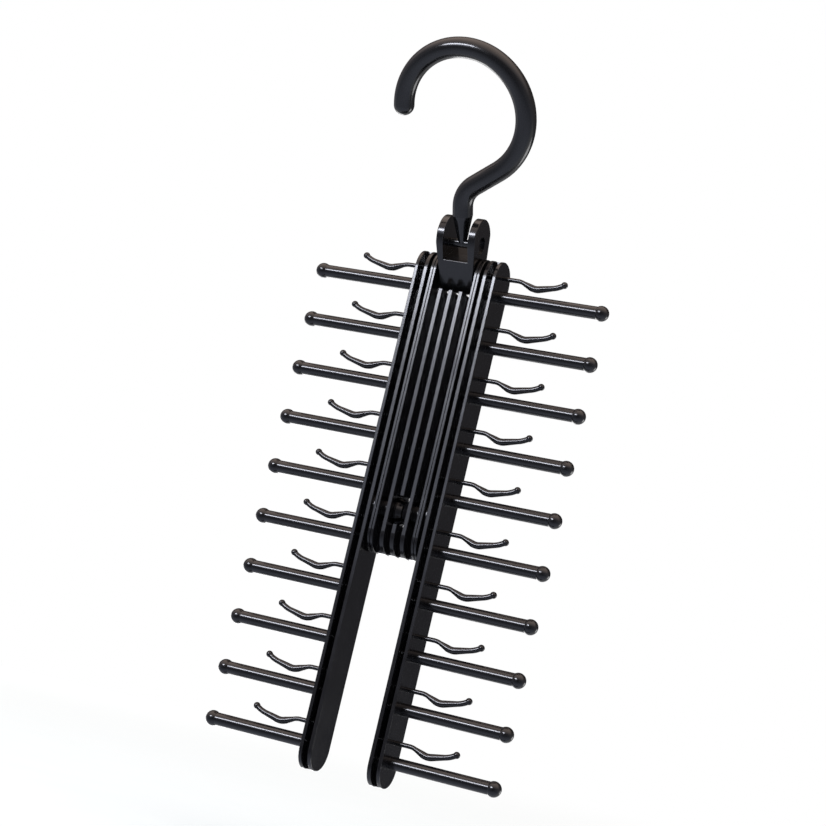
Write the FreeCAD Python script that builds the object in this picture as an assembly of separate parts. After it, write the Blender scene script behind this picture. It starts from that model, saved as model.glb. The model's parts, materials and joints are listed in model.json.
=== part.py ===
"""Folding cross tie hanger for twenty ties, shown closed with its hook leaning forward.

Millimetres. X runs across the hanger along the pegs, front is -Y, +Z is up along the stem.
The origin of the written parts is the point where a wardrobe rail bears inside the hook.
"""
import FreeCAD, Part
import math
import os

V = FreeCAD.Vector
X_AXIS = V(1, 0, 0)
ORIGIN = V(0, 0, 0)

# Rows of pegs
ROWS = 10
ROW_PITCH = 23.5
TOP_MARGIN = 16.0            # arm top to the highest peg
BOTTOM_MARGIN = 11.5         # lowest peg to the arm's bottom end
PIVOT_BELOW_TOP = 119.5      # arm top to the folding pivot

# Arms, H-section channels open to the front and the back
ARM_DEPTH = 20.5
ARM_THICKNESS = 6.2
ARM_OUTER_WALL = 1.6
ARM_INNER_WALL = 1.8
ARM_WEB = 3.0
END_FLAT = 1.3               # flat left between the rounded corners of an arm's or the stem's end
RIM_RADIUS = 0.25            # rounded edges of walls and ribs
PEG_BOSS_DIA = 5.6
FINGER_BOSS_DIA = 4.2

# Stem, the ribbed body between the arms
STEM_HALF_WIDTH = 11.9
STEM_SIDE_WALL = 2.65
STEM_BELOW_PIVOT = 20.2
STEM_WEB = 3.0
RIB_SPACING = 4.9
RIB_WIDTH = 1.95
SIDE_LINE_WIDTH = 0.45       # fine line sunk into the rim of each side wall
SIDE_LINE_DEPTH = 0.8
SIDE_LINE_INSET = 1.1

# Folding pivot, a split stub with a snap bead on each arm
ARM_GAP = 1.5                # stem side to arm
COLLAR_DIA = 17.0
COLLAR_CLEARANCE = 0.3
STUB_DIA = 11.6
STUB_WALL = 2.0
BEAD_RISE = 0.45
BEAD_LAND = 0.8
BEAD_CLEARANCE = 0.3
STUB_END_GAP = 0.8           # between the two stubs at mid-width
SPLIT_WIDTH = 2.2
SPLIT_ANGLE = 45.0           # degrees, turn of the splits about the pivot
RUN_CLEARANCE = 0.06         # radial, between pins and their bores

# Pegs
PEG_DIA = 5.8
PEG_REACH = 48.3             # arm face to the centre of the ball
PEG_BALL_DIA = 7.0
PEG_SPIGOT_DIA = 3.0
PEG_SPIGOT_LENGTH = 3.4
SEAT_CLEARANCE = 0.02        # radial, round the seated ends of pegs and fingers

# Wavy fingers, heights above the peg's axis and reaches from the arm face
FINGER_ROOT_RISE = 8.8
FINGER_DIP = 2.5             # root level down to the belly
FINGER_BELLY_REACH = 16.2
FINGER_TIP_REACH = 28.8
FINGER_DROP_ANGLE = 21.0     # degrees, slope down to the belly
FINGER_CLIMB_ANGLE = 13.0    # degrees, slope up from the belly
FINGER_TIP_ANGLE = 35.0      # degrees, slope at the ball
FINGER_CREST_RADIUS = 8.0
FINGER_BELLY_RADIUS = 7.0
FINGER_TIP_RADIUS = 14.0
FINGER_ROOT_DIA = 2.1
FINGER_BELLY_DIA = 3.2
FINGER_TIP_DIA = 2.5
FINGER_BALL_DIA = 3.1
FINGER_SEAT_DEPTH = 2.6

# Holder, the fork between stem and hook
REST_TILT = 35.0             # degrees, leaning forward
PIN_BELOW_TOP = 9.3          # arm top to the holder pin
HOLDER_REACH = 16.3          # holder pin to the hook's cross bar
EAR_RISE = 18.2              # holder pin to the middle of the ears' round ends
EAR_BACK = 1.0               # that middle behind the line from pin to cross bar
EAR_RADIUS = 9.9
KNUCKLE_RADIUS = 7.6
EAR_OVERHANG = 0.1           # ears stand out past the inner faces of the stem's side walls
FOOT_INSET = 1.65            # holder foot to the inner face of a side wall
FOOT_CHAMFER = 1.2
POCKET_CLEARANCE = 1.3       # below the knuckle
FORK_SLOT = 12.0
FORK_FLOOR = 5.6             # cross bar to the floor of the slot
HOLDER_RIM = 0.6             # rounding of the ears' outer edges and of the slot's floor
EAR_RECESS_DIA = 8.0         # round recess outside each end of the cross bar
EAR_RECESS_DEPTH = 1.2
PIN_DIA = 4.0
PIN_COLLAR_DIA = 8.0
PIN_COLLAR_CLEARANCE = 0.3
PIN_INSET = 0.2              # pin ends below the faces of the side walls

# Hook
ROD_DIA = 9.2
LOOP_RADIUS = 28.5           # centre line over the rail
SIDE_RADIUS = 29.6           # centre line down the closed side
SIDE_START = 60.0            # degrees above level, where the loop passes into its side
LOOP_RISE = 13.518           # straight rod that rises from the reverse bend to the loop
BEND_RADIUS = 12.5           # centre line of the reverse bend
NECK_LENGTH = 13.5           # cross bar to the full rod
STEM_ROD_LENGTH = 4.1        # straight rod above the neck
NECK_DIA = 3.6
BAR_DIA = 4.0
BAR_INSET = 0.2              # bar ends below the floors of the recesses

# Sizes that follow from the ones above
arm_top = PIVOT_BELOW_TOP
end_radius = (ARM_DEPTH - END_FLAT) / 2
first_row = arm_top - TOP_MARGIN
arm_bottom = first_row - (ROWS - 1) * ROW_PITCH - BOTTOM_MARGIN
side_inner = STEM_HALF_WIDTH - STEM_SIDE_WALL
arm_inner_face = STEM_HALF_WIDTH + ARM_GAP
arm_outer_face = arm_inner_face + ARM_THICKNESS
pin_height = arm_top - PIN_BELOW_TOP
rib_top = pin_height - KNUCKLE_RADIUS - POCKET_CLEARANCE
ear_half = side_inner + EAR_OVERHANG
foot_half = side_inner - FOOT_INSET
stub_radius = STUB_DIA / 2
bore_radius = stub_radius + RUN_CLEARANCE
bead_radius = stub_radius + BEAD_RISE
bead_outer = RIB_SPACING - RIB_WIDTH / 2 - BEAD_CLEARANCE
stub_end = STUB_END_GAP / 2
fork_half = FORK_SLOT / 2
bar_half = ear_half - EAR_RECESS_DEPTH - BAR_INSET
bend_start = NECK_LENGTH + STEM_ROD_LENGTH
side_angle = math.radians(SIDE_START)
side_way = V(math.cos(side_angle), 0, math.sin(side_angle))
side_shift = side_way * (SIDE_RADIUS - LOOP_RADIUS)
radii = BEND_RADIUS + SIDE_RADIUS
side_height = bend_start + math.sqrt(radii ** 2 + LOOP_RISE ** 2 - (BEND_RADIUS + side_shift.x) ** 2)
loop_height = side_height + side_shift.z
seat_rise = loop_height + LOOP_RADIUS - ROD_DIA / 2
lean = math.radians(REST_TILT)
seat_reach = HOLDER_REACH + seat_rise
rail_seat = V(0, -seat_reach * math.sin(lean), pin_height + seat_reach * math.cos(lean))


def x_cylinder(radius, x_start, x_end, y=0.0, z=0.0):
    """Cylinder along X between two planes."""
    return Part.makeCylinder(radius, x_end - x_start, V(x_start, y, z), X_AXIS)


def block(x_start, x_end, y_start, y_end, z_start, z_end):
    """Rectangular block between three pairs of planes."""
    return Part.makeBox(x_end - x_start, y_end - y_start, z_end - z_start, V(x_start, y_start, z_start))


def upright_edges(shape, low, high):
    """Edges along X whose height lies between two levels."""
    found = []
    for edge in shape.Edges:
        box = edge.BoundBox
        along_x = box.XLength > 1e-6 and box.YLength < 1e-6 and box.ZLength < 1e-6
        if along_x and low <= box.Center.z <= high:
            found.append(edge)
    return found


def plate(x_start, x_end, z_start, z_end, inset=0.0):
    """Wall in the Y-Z plane with rounded corners; the inset shrinks its outline."""
    half = ARM_DEPTH / 2 - inset
    low = z_start + inset
    high = z_end - inset
    solid = block(x_start, x_end, -half, half, low, high)
    return solid.makeFillet(end_radius - inset, upright_edges(solid, low, high))


def rounded_wall(x_start, x_end, z_start, z_end):
    """Wall with its outline edges rounded off on both faces."""
    solid = plate(x_start, x_end, z_start, z_end)
    rims = [edge for edge in solid.Edges if edge.BoundBox.XLength < 1e-6]
    return solid.makeFillet(RIM_RADIUS, rims)


def mirrored(shape):
    """The same piece on the left side."""
    return shape.mirror(ORIGIN, X_AXIS)


def build_stub():
    """Right pivot stub, a split tube with a thrust collar and a snap bead."""
    collar = x_cylinder(COLLAR_DIA / 2, arm_inner_face - ARM_GAP + COLLAR_CLEARANCE, arm_inner_face)
    ramp_start = bead_outer - BEAD_LAND
    profile = Part.makePolygon([
        V(arm_inner_face, 0, stub_radius - STUB_WALL),
        V(arm_inner_face, 0, stub_radius),
        V(bead_outer, 0, stub_radius),
        V(bead_outer, 0, bead_radius),
        V(ramp_start, 0, bead_radius),
        V(stub_end, 0, stub_radius - BEAD_RISE),
        V(stub_end, 0, stub_radius - STUB_WALL),
        V(arm_inner_face, 0, stub_radius - STUB_WALL),
    ])
    tube = Part.Face(profile).revolve(ORIGIN, X_AXIS, 360)
    split_root = arm_inner_face - ARM_GAP
    for y_half, z_half in ((SPLIT_WIDTH / 2, bead_radius + 1), (bead_radius + 1, SPLIT_WIDTH / 2)):
        split = block(0, split_root, -y_half, y_half, -z_half, z_half)
        split.rotate(ORIGIN, X_AXIS, SPLIT_ANGLE)
        tube = tube.cut(split)
    return tube.fuse(collar)


def row_heights():
    """Heights of the pegs, from the top down."""
    return [first_row - row * ROW_PITCH for row in range(ROWS)]


def build_arm():
    """Right arm: two walls on a web at mid-depth, bosses for pegs and fingers, pivot stub."""
    groove_start = arm_inner_face + ARM_INNER_WALL
    groove_end = arm_outer_face - ARM_OUTER_WALL
    wall_out = rounded_wall(groove_end, arm_outer_face, arm_bottom, arm_top)
    wall_in = rounded_wall(arm_inner_face, groove_start, arm_bottom, arm_top)
    web_low = arm_bottom + RIM_RADIUS
    web_high = arm_top - RIM_RADIUS
    web = block(groove_start, groove_end, -ARM_WEB / 2, ARM_WEB / 2, web_low, web_high)
    solids = [wall_out, web, build_stub()]
    for height in row_heights():
        solids.append(x_cylinder(PEG_BOSS_DIA / 2, arm_inner_face, arm_outer_face, 0, height))
        finger_height = height + FINGER_ROOT_RISE
        solids.append(x_cylinder(FINGER_BOSS_DIA / 2, arm_inner_face, arm_outer_face, 0, finger_height))
    arm = wall_in.fuse(solids)
    seats = []
    for height in row_heights():
        peg_start = arm_outer_face - PEG_SPIGOT_LENGTH
        seats.append(x_cylinder(PEG_SPIGOT_DIA / 2 + SEAT_CLEARANCE, peg_start, arm_outer_face, 0, height))
        finger_start = arm_outer_face - FINGER_SEAT_DEPTH
        seat_radius = FINGER_ROOT_DIA / 2 + SEAT_CLEARANCE
        seats.append(x_cylinder(seat_radius, finger_start, arm_outer_face, 0, height + FINGER_ROOT_RISE))
    return arm.cut(seats).removeSplitter()


def build_peg():
    """Right peg on its own axis: spigot, rod and ball."""
    spigot = x_cylinder(PEG_SPIGOT_DIA / 2, arm_outer_face - PEG_SPIGOT_LENGTH, arm_outer_face)
    rod = x_cylinder(PEG_DIA / 2, arm_outer_face, arm_outer_face + PEG_REACH)
    ball = Part.makeSphere(PEG_BALL_DIA / 2, V(arm_outer_face + PEG_REACH, 0, 0), V(1, 0, 0))
    return rod.fuse([spigot, ball])


def bend(diameter, start, heading, radius, turn):
    """Round rod bent in the X-Z plane; a positive turn goes up. Gives the solid, its end and heading."""
    side = 1 if turn > 0 else -1
    direction = V(math.cos(heading), 0, math.sin(heading))
    centre = start + V(-direction.z, 0, direction.x) * (side * radius)
    face = Part.Face(Part.Wire([Part.makeCircle(diameter / 2, start, direction)]))
    solid = face.revolve(centre, V(0, -side, 0), abs(math.degrees(turn)))
    new_heading = heading + turn
    end = centre + V(math.sin(new_heading), 0, -math.cos(new_heading)) * (side * radius)
    return solid, end, new_heading


def taper(start_dia, end_dia, start, end):
    """Straight round rod between two points with a diameter at each."""
    along = end - start
    if start_dia == end_dia:
        return Part.makeCylinder(start_dia / 2, along.Length, start, along)
    return Part.makeCone(start_dia / 2, end_dia / 2, along.Length, start, along)


def build_finger():
    """Right finger above a peg's axis: level root, slope down to a thick belly, curved climb to a ball."""
    drop = math.radians(FINGER_DROP_ANGLE)
    climb = math.radians(FINGER_CLIMB_ANGLE)
    belly_rise = FINGER_ROOT_RISE - FINGER_DIP
    belly_x = arm_outer_face + FINGER_BELLY_REACH
    belly_start = V(belly_x - FINGER_BELLY_RADIUS * math.sin(drop), 0,
                    belly_rise + FINGER_BELLY_RADIUS * (1 - math.cos(drop)))
    corner_x = belly_start.x - (FINGER_ROOT_RISE - belly_start.z) / math.tan(drop)
    crest_start = V(corner_x - FINGER_CREST_RADIUS * math.tan(drop / 2), 0, FINGER_ROOT_RISE)
    seat = V(arm_outer_face - FINGER_SEAT_DEPTH, 0, FINGER_ROOT_RISE)
    root = taper(FINGER_ROOT_DIA, FINGER_ROOT_DIA, seat, crest_start)
    crest, crest_end, heading = bend(FINGER_ROOT_DIA, crest_start, 0.0, FINGER_CREST_RADIUS, -drop)
    slope = taper(FINGER_ROOT_DIA, FINGER_BELLY_DIA, crest_end, belly_start)
    belly_turn = drop + climb
    belly, belly_end, heading = bend(FINGER_BELLY_DIA, belly_start, heading, FINGER_BELLY_RADIUS, belly_turn)
    tip_angle = math.radians(FINGER_TIP_ANGLE)
    tip_run = FINGER_TIP_RADIUS * (math.sin(tip_angle) - math.sin(climb))
    run = arm_outer_face + FINGER_TIP_REACH - tip_run - belly_end.x
    rise_end = belly_end + V(run, 0, run * math.tan(climb))
    rise = taper(FINGER_BELLY_DIA, FINGER_TIP_DIA, belly_end, rise_end)
    tip, tip_end, heading = bend(FINGER_TIP_DIA, rise_end, heading, FINGER_TIP_RADIUS, tip_angle - climb)
    ball = Part.makeSphere(FINGER_BALL_DIA / 2, tip_end)
    return root.fuse([crest, slope, belly, rise, tip, ball]).removeSplitter()


def build_stem():
    """Ribbed stem with the pivot bore, the bead window and the pocket for the holder."""
    bottom = -STEM_BELOW_PIVOT
    side = rounded_wall(side_inner, STEM_HALF_WIDTH, bottom, arm_top)
    line_outer = STEM_HALF_WIDTH - SIDE_LINE_INSET
    line_inner = line_outer - SIDE_LINE_WIDTH
    line = plate(line_inner, line_outer, bottom, arm_top)
    line = line.cut(plate(line_inner, line_outer, bottom, arm_top, SIDE_LINE_DEPTH))
    side = side.cut(line)
    solids = [mirrored(side)]
    rib_wall = rounded_wall(-RIB_WIDTH / 2, RIB_WIDTH / 2, bottom, arm_top)
    rib = rib_wall.common(block(-RIB_WIDTH, RIB_WIDTH, -ARM_DEPTH, ARM_DEPTH, bottom, rib_top))
    for step in (-1, 0, 1):
        solids.append(rib.translated(V(step * RIB_SPACING, 0, 0)))
    web_low = bottom + RIM_RADIUS
    solids.append(block(-side_inner, side_inner, -STEM_WEB / 2, STEM_WEB / 2, web_low, rib_top))
    stem = side.fuse(solids)
    window_half = RIB_SPACING - RIB_WIDTH / 2
    window_rise = bead_radius + BEAD_CLEARANCE
    pin_hole = x_cylinder(PIN_DIA / 2, -STEM_HALF_WIDTH, STEM_HALF_WIDTH, 0, pin_height)
    bore = x_cylinder(bore_radius, -STEM_HALF_WIDTH, STEM_HALF_WIDTH)
    window = block(-window_half, window_half, -ARM_DEPTH, ARM_DEPTH, -window_rise, window_rise)
    return stem.cut([bore, window, pin_hole]).removeSplitter()


def holder_side(half_width):
    """Side outline of the holder, knuckle and ears joined by their tangents, as a solid across X."""
    ear = V(0, EAR_BACK, EAR_RISE)
    along = V(ear).normalize()
    spread = math.asin((KNUCKLE_RADIUS - EAR_RADIUS) / ear.Length)
    tangents = []
    for side in (-1, 1):
        across = V(0, along.z, -along.y) * side
        normal = across * math.cos(spread) + along * math.sin(spread)
        tangents.append((normal * KNUCKLE_RADIUS, ear + normal * EAR_RADIUS))
    front, back = tangents
    edges = [
        Part.makeLine(front[0], front[1]),
        Part.Arc(front[1], ear + along * EAR_RADIUS, back[1]).toShape(),
        Part.makeLine(back[1], back[0]),
        Part.Arc(back[0], along * -KNUCKLE_RADIUS, front[0]).toShape(),
    ]
    face = Part.Face(Part.Wire(edges)).translated(V(-half_width, 0, 0))
    return face.extrude(V(2 * half_width, 0, 0))


def build_holder():
    """Holder upright about its pin at the origin: ears, slot, tapered foot and pin collars."""
    top = EAR_RISE + EAR_RADIUS + 1
    low = -KNUCKLE_RADIUS
    corner = low + FOOT_CHAMFER
    depth = EAR_RADIUS + EAR_BACK + 1
    outline = Part.makePolygon([
        V(-ear_half, -depth, top),
        V(-ear_half, -depth, EAR_RISE),
        V(-foot_half, -depth, corner),
        V(-foot_half + FOOT_CHAMFER, -depth, low),
        V(foot_half - FOOT_CHAMFER, -depth, low),
        V(foot_half, -depth, corner),
        V(ear_half, -depth, EAR_RISE),
        V(ear_half, -depth, top),
        V(-ear_half, -depth, top),
    ])
    holder = holder_side(ear_half).common(Part.Face(outline).extrude(V(0, 2 * depth, 0)))
    rims = []
    for edge in holder.Edges:
        box = edge.BoundBox
        if box.XLength < 1e-6 and box.ZMin > EAR_RISE - EAR_RADIUS / 2:
            rims.append(edge)
    holder = holder.makeFillet(HOLDER_RIM, rims)
    floor = HOLDER_REACH - FORK_FLOOR
    holder = holder.cut(block(-fork_half, fork_half, -depth, depth, floor, top))
    holder = holder.makeFillet(HOLDER_RIM, upright_edges(holder, floor - 0.01, floor + 0.01))
    collar_half = side_inner - PIN_COLLAR_CLEARANCE
    collar = x_cylinder(PIN_COLLAR_DIA / 2, -collar_half, collar_half)
    bar_seat = x_cylinder(BAR_DIA / 2 + RUN_CLEARANCE, -ear_half, ear_half, 0, HOLDER_REACH)
    recess_floor = ear_half - EAR_RECESS_DEPTH
    recess = x_cylinder(EAR_RECESS_DIA / 2, recess_floor, ear_half, 0, HOLDER_REACH)
    pin_bore = x_cylinder(PIN_DIA / 2 + RUN_CLEARANCE, -collar_half, collar_half)
    return holder.fuse(collar).cut([bar_seat, recess, mirrored(recess), pin_bore]).removeSplitter()


def build_hook():
    """Hook upright above its cross bar: bar, tapered neck, stem, reverse bend, loop and round tip."""
    side_centre = V(0, 0, loop_height) - side_shift
    bend_centre = V(BEND_RADIUS, 0, bend_start)
    between = side_centre - bend_centre
    # Straight run that touches the bend on its upper side and the loop on its lower side
    opening = math.atan2(LOOP_RISE, radii)
    normal_angle = math.atan2(between.z, between.x) + opening
    normal = V(math.cos(normal_angle), 0, math.sin(normal_angle))
    side_low = side_centre - normal * SIDE_RADIUS
    stem_end = V(0, 0, bend_start)
    stem = taper(ROD_DIA, ROD_DIA, V(0, 0, NECK_LENGTH), stem_end)
    lower, lower_end, heading = bend(ROD_DIA, stem_end, math.pi / 2, BEND_RADIUS, normal_angle - math.pi)
    straight = taper(ROD_DIA, ROD_DIA, lower_end, side_low)
    side_turn = math.pi + side_angle - normal_angle
    side, side_end, heading = bend(ROD_DIA, side_low, heading, SIDE_RADIUS, side_turn)
    loop, tip, heading = bend(ROD_DIA, side_end, heading, LOOP_RADIUS, math.pi - side_angle)
    neck = Part.makeCone(NECK_DIA / 2, ROD_DIA / 2, NECK_LENGTH)
    bar = x_cylinder(BAR_DIA / 2, -bar_half, bar_half)
    end = Part.makeSphere(ROD_DIA / 2, tip)
    return stem.fuse([lower, straight, side, loop, neck, bar, end]).removeSplitter()


def leaned(shape, rise):
    """Leans a piece with the holder; rise is its height above the holder pin."""
    placed = shape.translated(V(0, 0, rise))
    placed.rotate(ORIGIN, X_AXIS, REST_TILT)
    return placed.translated(V(0, 0, pin_height))


def write(shape, node):
    """Writes one piece about the rail seat."""
    shape.translated(rail_seat * -1).exportStep("parts/" + node + ".step")


os.makedirs("parts", exist_ok=True)

write(leaned(build_hook(), HOLDER_REACH), "hook")
write(leaned(build_holder(), 0), "hook_holder")
pin_half = STEM_HALF_WIDTH - PIN_INSET
write(x_cylinder(PIN_DIA / 2, -pin_half, pin_half, 0, pin_height), "holder_pin")
write(build_stem(), "stem")

right_arm = build_arm()
write(right_arm, "right_arm")
write(mirrored(right_arm), "left_arm")

peg = build_peg()
finger = build_finger()
for row, height in enumerate(row_heights(), start=1):
    up = V(0, 0, height)
    write(peg.translated(up), "right_peg_%02d" % row)
    write(mirrored(peg).translated(up), "left_peg_%02d" % row)
    write(finger.translated(up), "right_finger_%02d" % row)
    write(mirrored(finger).translated(up), "left_finger_%02d" % row)
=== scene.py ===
"""Looks of the folding tie hanger: moulded black plastic over a white floor, lit by softboxes."""
import json
import math

import bpy
from mathutils import Matrix, Vector


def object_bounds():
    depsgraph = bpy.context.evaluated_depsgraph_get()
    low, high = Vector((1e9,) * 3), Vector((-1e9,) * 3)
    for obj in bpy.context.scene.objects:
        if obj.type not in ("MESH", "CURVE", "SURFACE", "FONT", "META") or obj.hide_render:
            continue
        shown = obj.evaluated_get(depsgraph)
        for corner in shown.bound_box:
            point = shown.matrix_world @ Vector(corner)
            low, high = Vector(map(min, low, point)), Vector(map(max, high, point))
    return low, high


MM = 0.001

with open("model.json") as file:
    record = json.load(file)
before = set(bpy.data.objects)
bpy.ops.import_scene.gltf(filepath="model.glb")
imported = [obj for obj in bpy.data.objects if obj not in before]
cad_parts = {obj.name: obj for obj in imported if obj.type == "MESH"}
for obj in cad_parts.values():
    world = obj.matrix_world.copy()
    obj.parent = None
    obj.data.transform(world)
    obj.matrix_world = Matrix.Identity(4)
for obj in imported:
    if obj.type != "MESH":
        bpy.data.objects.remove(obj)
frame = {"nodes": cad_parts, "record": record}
cad_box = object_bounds()
record = frame["record"]
slot_of = {part["node"]: part["material_slot"] for part in record["subparts"]}
joints = {joint["name"]: joint for joint in record["behaviour"]["joints"]}
pivot = Vector(joints["left_arm_swing"]["pos_m"])
pin = Vector(joints["holder_tilt"]["pos_m"])

# Camera as the photograph was taken, in degrees and metres; the target is measured from the folding pivot
CAMERA_AZIMUTH = 21.603
CAMERA_ELEVATION = 7.732     # looking up towards the hook
CAMERA_ROLL = 13.402
CAMERA_DISTANCE = 0.8783
CAMERA_TARGET = Vector((-0.00796, 0.0, 0.04502))
CAMERA_LENS = 84.99          # millimetres, as the sensor
SENSOR_WIDTH = 36.0
CLIP_START = 0.01

# Floor, in metres
FLOOR_SIZE = 8.0
FLOOR_DROP = 40 * MM         # below the lowest point of the hanger
FLOOR_GLOW = 0.42            # share of the floor's white that shadows don't take away
FLOOR_NEAR = 0.6             # from the rail seat; the floor fades into the backdrop from here
FLOOR_FAR = 1.6              # and is lost in it from here

# Lamps: name, offset from the folding pivot, width and height in metres, power in watts, tint
LAMPS = [
    ("key_strip", (-0.78, -1.80, 0.66), 1.00, 0.30, 28.5, "#f0f3ff"),
    ("front_fill", (-0.70, -1.80, 0.29), 0.60, 0.40, 0.95, "#dfe7ff"),
    ("rear_left_box", (-0.75, 1.15, -0.35), 0.70, 0.70, 5.0, "#ffffff"),
    ("rear_right_box", (0.95, 1.00, -0.42), 0.60, 0.60, 3.5, "#ffffff"),
]

# Room light
ROOM_LEVEL = 0.12            # in front of the hanger
ROOM_ABOVE = 1.9             # overhead
ROOM_BELOW = 0.6             # added straight below
ROOM_SIDES = 0.33            # added at the left and the right
ROOM_BEHIND = -0.08          # added behind
ROOM_SLANT = -1.2            # lowers the overhead light towards the back
BACKDROP = 1.0               # white
BACKDROP_MIRRORED = 0.5      # share of the backdrop in what glossy faces mirror

# Wear of the plastics
PLASTIC_IOR = 1.53
SCUFF_SHARE = 0.3            # how far scuffs pale the plastic, next to rubbed edges
WEAR_ROUGHNESS = 0.2         # added where the plastic is worn
GRAIN_SHARE = 0.35           # height of the grain, next to the parting line


def linear(text):
    """Linear colour of an sRGB hex value."""
    channels = [int(text[i:i + 2], 16) / 255 for i in (1, 3, 5)]
    return [c / 12.92 if c <= 0.04045 else ((c + 0.055) / 1.055) ** 2.4 for c in channels] + [1.0]


def per_metre(size_mm):
    """Noise scale whose features are about the given size."""
    return 1 / (size_mm * MM)


def add(tree, kind, sockets=None, **settings):
    """Adds a shader node; a socket is given a value, or a node and the name of its output."""
    node = tree.nodes.new("ShaderNode" + kind)
    for name, value in settings.items():
        setattr(node, name, value)
    for name, value in (sockets or {}).items():
        if isinstance(value, tuple) and isinstance(value[0], bpy.types.Node):
            tree.links.new(value[0].outputs[value[1]], node.inputs[name])
        else:
            node.inputs[name].default_value = value
    return node


def maths(tree, operation, *values, **settings):
    """Adds a Math node and gives its output."""
    return add(tree, "Math", dict(enumerate(values)), operation=operation, **settings), "Value"


def noise(tree, place, size_mm, **sockets):
    """Adds noise with features of about the given size, in the piece's own coordinates."""
    given = {name.capitalize(): value for name, value in sockets.items()}
    given.update({"Vector": (place, "Object"), "Scale": per_metre(size_mm)})
    return add(tree, "TexNoise", given), "Fac"


def remap(tree, value, source, target=(0.0, 1.0), **settings):
    """Maps a value from one range to another, and stops at its ends."""
    sockets = {"Value": value, "From Min": source[0], "From Max": source[1],
               "To Min": target[0], "To Max": target[1]}
    return add(tree, "MapRange", sockets, **settings), "Result"


def blend(tree, share, first, second):
    """Blends two hex colours."""
    sockets = {"Factor": share, "A": linear(first), "B": linear(second)}
    return add(tree, "Mix", sockets, data_type="RGBA"), "Result"


def new_material(name):
    """Empty node material, its tree and its coordinates."""
    material = bpy.data.materials.new(name)
    material.use_nodes = True
    material.node_tree.nodes.clear()
    return material, material.node_tree, add(material.node_tree, "TexCoord")


def rubbed_edges(tree, place, radius_mm):
    """Mask of edges rubbed by handling: strong on sharp corners, broken up by patches of about 6 mm."""
    rounded = add(tree, "Bevel", {"Radius": radius_mm * MM}, samples=4)
    shape = add(tree, "NewGeometry")
    facing = add(tree, "VectorMath", {0: (rounded, "Normal"), 1: (shape, "Normal")},
                 operation="DOT_PRODUCT")
    corner = remap(tree, (facing, "Value"), (0.965, 0.8))
    patches = noise(tree, place, 6, detail=5.0, roughness=0.65)
    gaps = remap(tree, patches, (0.42, 0.62), (0.15, 1.0))
    return maths(tree, "MULTIPLY", corner, gaps)


def scuffs(tree, place):
    """Mask of hair-fine rubs from handling, about 0.3 mm wide and gathered in patches of about 11 mm."""
    fine = noise(tree, place, 0.6, detail=3.0, roughness=0.7, distortion=1.5)
    marks = remap(tree, fine, (0.56, 0.7))
    patches = remap(tree, noise(tree, place, 11, detail=2.0), (0.42, 0.65))
    return maths(tree, "MULTIPLY", marks, patches)


def plastic(tree, place, edge_mm, colours, haze, roughness, bump):
    """Worn moulded plastic: two colours, a haze that spreads its roughness, and a bump."""
    edges = rubbed_edges(tree, place, edge_mm)
    paled = maths(tree, "MULTIPLY_ADD", scuffs(tree, place), SCUFF_SHARE, edges, use_clamp=True)
    gloss = remap(tree, haze, (0.3, 0.75), roughness)
    dulled = maths(tree, "MULTIPLY_ADD", paled, WEAR_ROUGHNESS, gloss)
    shader = add(tree, "BsdfPrincipled", {"Base Color": blend(tree, paled, *colours), "Roughness": dulled,
                                          "IOR": PLASTIC_IOR, "Normal": (bump, "Normal")})
    add(tree, "OutputMaterial", {"Surface": (shader, "BSDF")})


def moulded_gloss_abs():
    """ABS from a polished mould: deep black with sharp reflections, faint ripple and handling haze."""
    material, tree, place = new_material("moulded_gloss_abs")
    haze = noise(tree, place, 14, detail=4.0, roughness=0.6)
    ripple = noise(tree, place, 5, detail=1.0)
    bump = add(tree, "Bump", {"Height": ripple, "Strength": 0.03, "Distance": 0.05 * MM})
    plastic(tree, place, 0.5, ("#0d0d0f", "#303136"), haze, (0.14, 0.2), bump)
    return material


def moulded_satin_abs():
    """ABS from a finely eroded mould: soft sheen, fine even grain and a parting line on the hook."""
    material, tree, place = new_material("moulded_satin_abs")
    haze = noise(tree, place, 9, detail=4.0)
    # The real grain is about 0.1 mm; it is drawn at 0.35 mm so that it shows
    grain = noise(tree, place, 0.35, detail=2.0)
    # The hook leans with the line from the rail to the pin, and its mould parted along that plane
    lean = pin.normalized()
    across = Vector((0.0, -lean.z, lean.y))
    side = add(tree, "VectorMath", {0: (place, "Object"), 1: across}, operation="DOT_PRODUCT")
    off = maths(tree, "ABSOLUTE", (side, "Value"))
    line = remap(tree, off, (0.08 * MM, 0.25 * MM), (1.0, 0.0))
    relief = maths(tree, "MULTIPLY_ADD", grain, GRAIN_SHARE, line)
    bump = add(tree, "Bump", {"Height": relief, "Strength": 0.3, "Distance": 0.06 * MM})
    plastic(tree, place, 0.6, ("#0f0f10", "#303035"), haze, (0.14, 0.21), bump)
    return material


def drawn_steel():
    """Drawn steel wire: bright metal with fine lines along the pin."""
    material, tree, place = new_material("drawn_steel")
    stretch = add(tree, "Mapping", {"Vector": (place, "Object"),
                                    "Scale": (per_metre(30), per_metre(0.2), per_metre(0.2))})
    lines = add(tree, "TexNoise", {"Vector": (stretch, "Vector"), "Scale": 1.0, "Detail": 2.0}), "Fac"
    tone = blend(tree, lines, "#8d8f92", "#c3c4c6")
    polish = remap(tree, lines, (0.0, 1.0), (0.22, 0.38))
    steel = add(tree, "BsdfPrincipled", {"Base Color": tone, "Roughness": polish, "Metallic": 1.0})
    add(tree, "OutputMaterial", {"Surface": (steel, "BSDF")})
    return material


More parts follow.
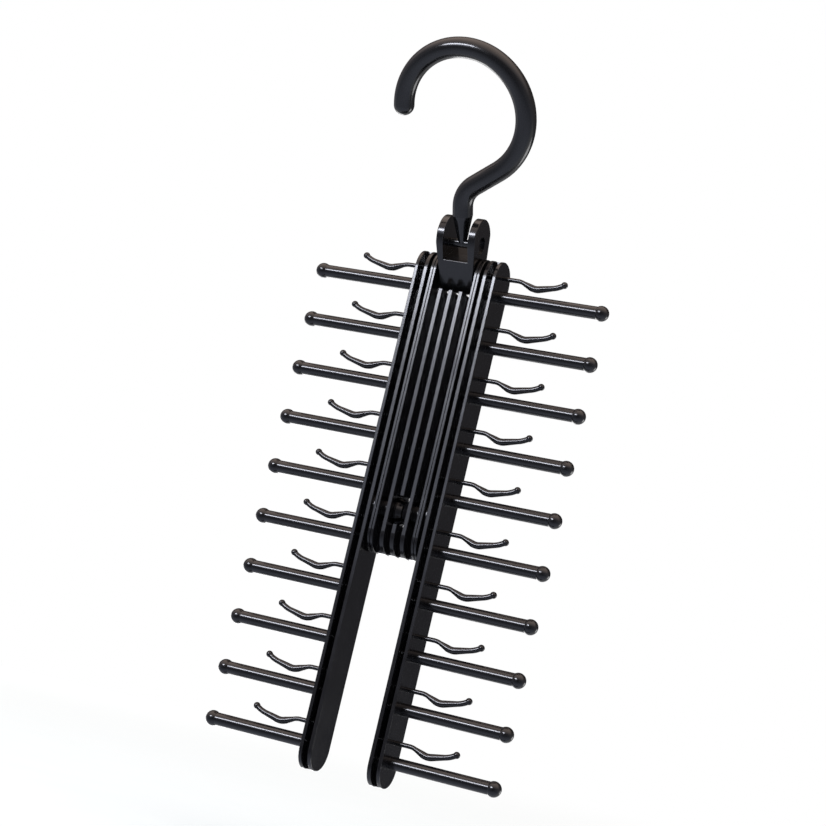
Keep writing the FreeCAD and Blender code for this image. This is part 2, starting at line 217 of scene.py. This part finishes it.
def white_laminate():
    """Matt white laminate that fades into the backdrop; open to the light and to the eye from below."""
    material, tree, place = new_material("white_laminate")
    tone = blend(tree, noise(tree, place, 40, detail=3.0), "#bccbd0", "#c0ced3")
    matt = add(tree, "BsdfDiffuse", {"Color": tone})
    path = add(tree, "LightPath")
    watched = maths(tree, "MAXIMUM", (path, "Is Camera Ray"), (path, "Is Transmission Ray"))
    strength = maths(tree, "MULTIPLY", watched, FLOOR_GLOW)
    glow = add(tree, "Emission", {"Color": linear("#ffffff"), "Strength": strength})
    near = add(tree, "AddShader", {0: (matt, "BSDF"), 1: (glow, "Emission")})
    bright = add(tree, "Emission", {"Color": linear("#ffffff"), "Strength": watched})
    reach = add(tree, "VectorMath", {0: (place, "Object")}, operation="LENGTH")
    away = remap(tree, (reach, "Value"), (FLOOR_NEAR, FLOOR_FAR), interpolation_type="SMOOTHSTEP")
    seen = add(tree, "MixShader", {0: away, 1: (near, "Shader"), 2: (bright, "Emission")})
    shape = add(tree, "NewGeometry")
    passing = maths(tree, "MAXIMUM", (path, "Is Glossy Ray"), (path, "Is Shadow Ray"))
    open_to = maths(tree, "MAXIMUM", passing, (shape, "Backfacing"))
    clear = add(tree, "BsdfTransparent")
    one_sided = add(tree, "MixShader", {0: open_to, 1: (seen, "Shader"), 2: (clear, "BSDF")})
    add(tree, "OutputMaterial", {"Surface": (one_sided, "Shader")})
    return material


def place_object(name, data):
    """New object in the scene."""
    item = bpy.data.objects.new(name, data)
    bpy.context.collection.objects.link(item)
    return item


def softbox(name, offset, width, height, power, tint):
    """Rectangular lamp at an offset from the folding pivot, facing it."""
    data = bpy.data.lights.new(name, "AREA")
    data.shape = "RECTANGLE"
    data.size = width
    data.size_y = height
    data.energy = power
    data.color = linear(tint)[:3]
    lamp = place_object(name, data)
    lamp.location = pivot + Vector(offset)
    lamp.rotation_euler = (-Vector(offset)).to_track_quat("-Z", "Y").to_euler()


def studio():
    """Room light, dim in front, dimmer behind, brighter above, below and at the sides; white backdrop."""
    world = bpy.data.worlds.new("studio")
    world.use_nodes = True
    sky = world.node_tree
    sky.nodes.clear()
    place = add(sky, "TexCoord")
    heading = add(sky, "SeparateXYZ", {"Vector": (place, "Generated")})
    across, deep, high = ((heading, axis) for axis in "XYZ")
    below = remap(sky, high, (-0.35, -0.9), (0.0, ROOM_BELOW))
    backward = maths(sky, "MAXIMUM", deep, 0.0)
    lifted = maths(sky, "MULTIPLY_ADD", backward, ROOM_SLANT, high)
    above = remap(sky, lifted, (0.2, 0.95), (ROOM_LEVEL, ROOM_ABOVE))
    ends = maths(sky, "ADD", below, above)
    sides = maths(sky, "MULTIPLY_ADD", maths(sky, "MULTIPLY", across, across), ROOM_SIDES, ends)
    level = maths(sky, "MULTIPLY_ADD", backward, ROOM_BEHIND, sides)
    tint = blend(sky, remap(sky, high, (-0.3, 0.8)), "#e2e9ff", "#ffeade")
    room = add(sky, "Background", {"Color": tint, "Strength": level})
    backdrop = add(sky, "Background", {"Color": linear("#ffffff"), "Strength": BACKDROP})
    # The backdrop shows to the camera, and in glossy faces where it is low behind the hanger
    path = add(sky, "LightPath")
    behind = remap(sky, deep, (0.0, 0.3))
    lower = remap(sky, high, (-0.08, -0.2), (0.0, BACKDROP_MIRRORED))
    mirrored = maths(sky, "MULTIPLY", (path, "Is Glossy Ray"), maths(sky, "MULTIPLY", behind, lower))
    seen = maths(sky, "MAXIMUM", (path, "Is Camera Ray"), (path, "Is Transmission Ray"))
    white = maths(sky, "MAXIMUM", seen, mirrored)
    both = add(sky, "MixShader", {0: white, 1: (room, "Background"), 2: (backdrop, "Background")})
    add(sky, "OutputWorld", {"Surface": (both, "Shader")})
    return world


finishes = {
    "gloss_black": moulded_gloss_abs(),
    "satin_black": moulded_satin_abs(),
    "pin_steel": drawn_steel(),
}
for name, piece in frame["nodes"].items():
    piece.data.materials.clear()
    piece.data.materials.append(finishes[slot_of[name]])

# Floor below the hanger, which hangs from the rail seat in its hook
ground = cad_box[0][2] - FLOOR_DROP
half = FLOOR_SIZE / 2
mesh = bpy.data.meshes.new("floor")
corners = [(-half, -half, ground), (half, -half, ground), (half, half, ground), (-half, half, ground)]
mesh.from_pydata(corners, [], [(0, 1, 2, 3)])
floor = place_object("floor", mesh)
floor.data.materials.append(white_laminate())

for lamp_values in LAMPS:
    softbox(*lamp_values)
bpy.context.scene.world = studio()

camera_data = bpy.data.cameras.new("camera")
camera_data.sensor_width = SENSOR_WIDTH
camera_data.lens = CAMERA_LENS
camera_data.clip_start = CLIP_START
camera = place_object("camera", camera_data)
turn = Matrix.Rotation(math.radians(CAMERA_AZIMUTH), 4, "Z")
turn = turn @ Matrix.Rotation(math.radians(90 + CAMERA_ELEVATION), 4, "X")
turn = turn @ Matrix.Rotation(math.radians(CAMERA_ROLL), 4, "Z")
backwards = turn.to_3x3() @ Vector((0, 0, 1))
camera.matrix_world = Matrix.Translation(pivot + CAMERA_TARGET + backwards * CAMERA_DISTANCE) @ turn
bpy.context.scene.camera = camera
bpy.context.scene.view_settings.view_transform = "Standard"
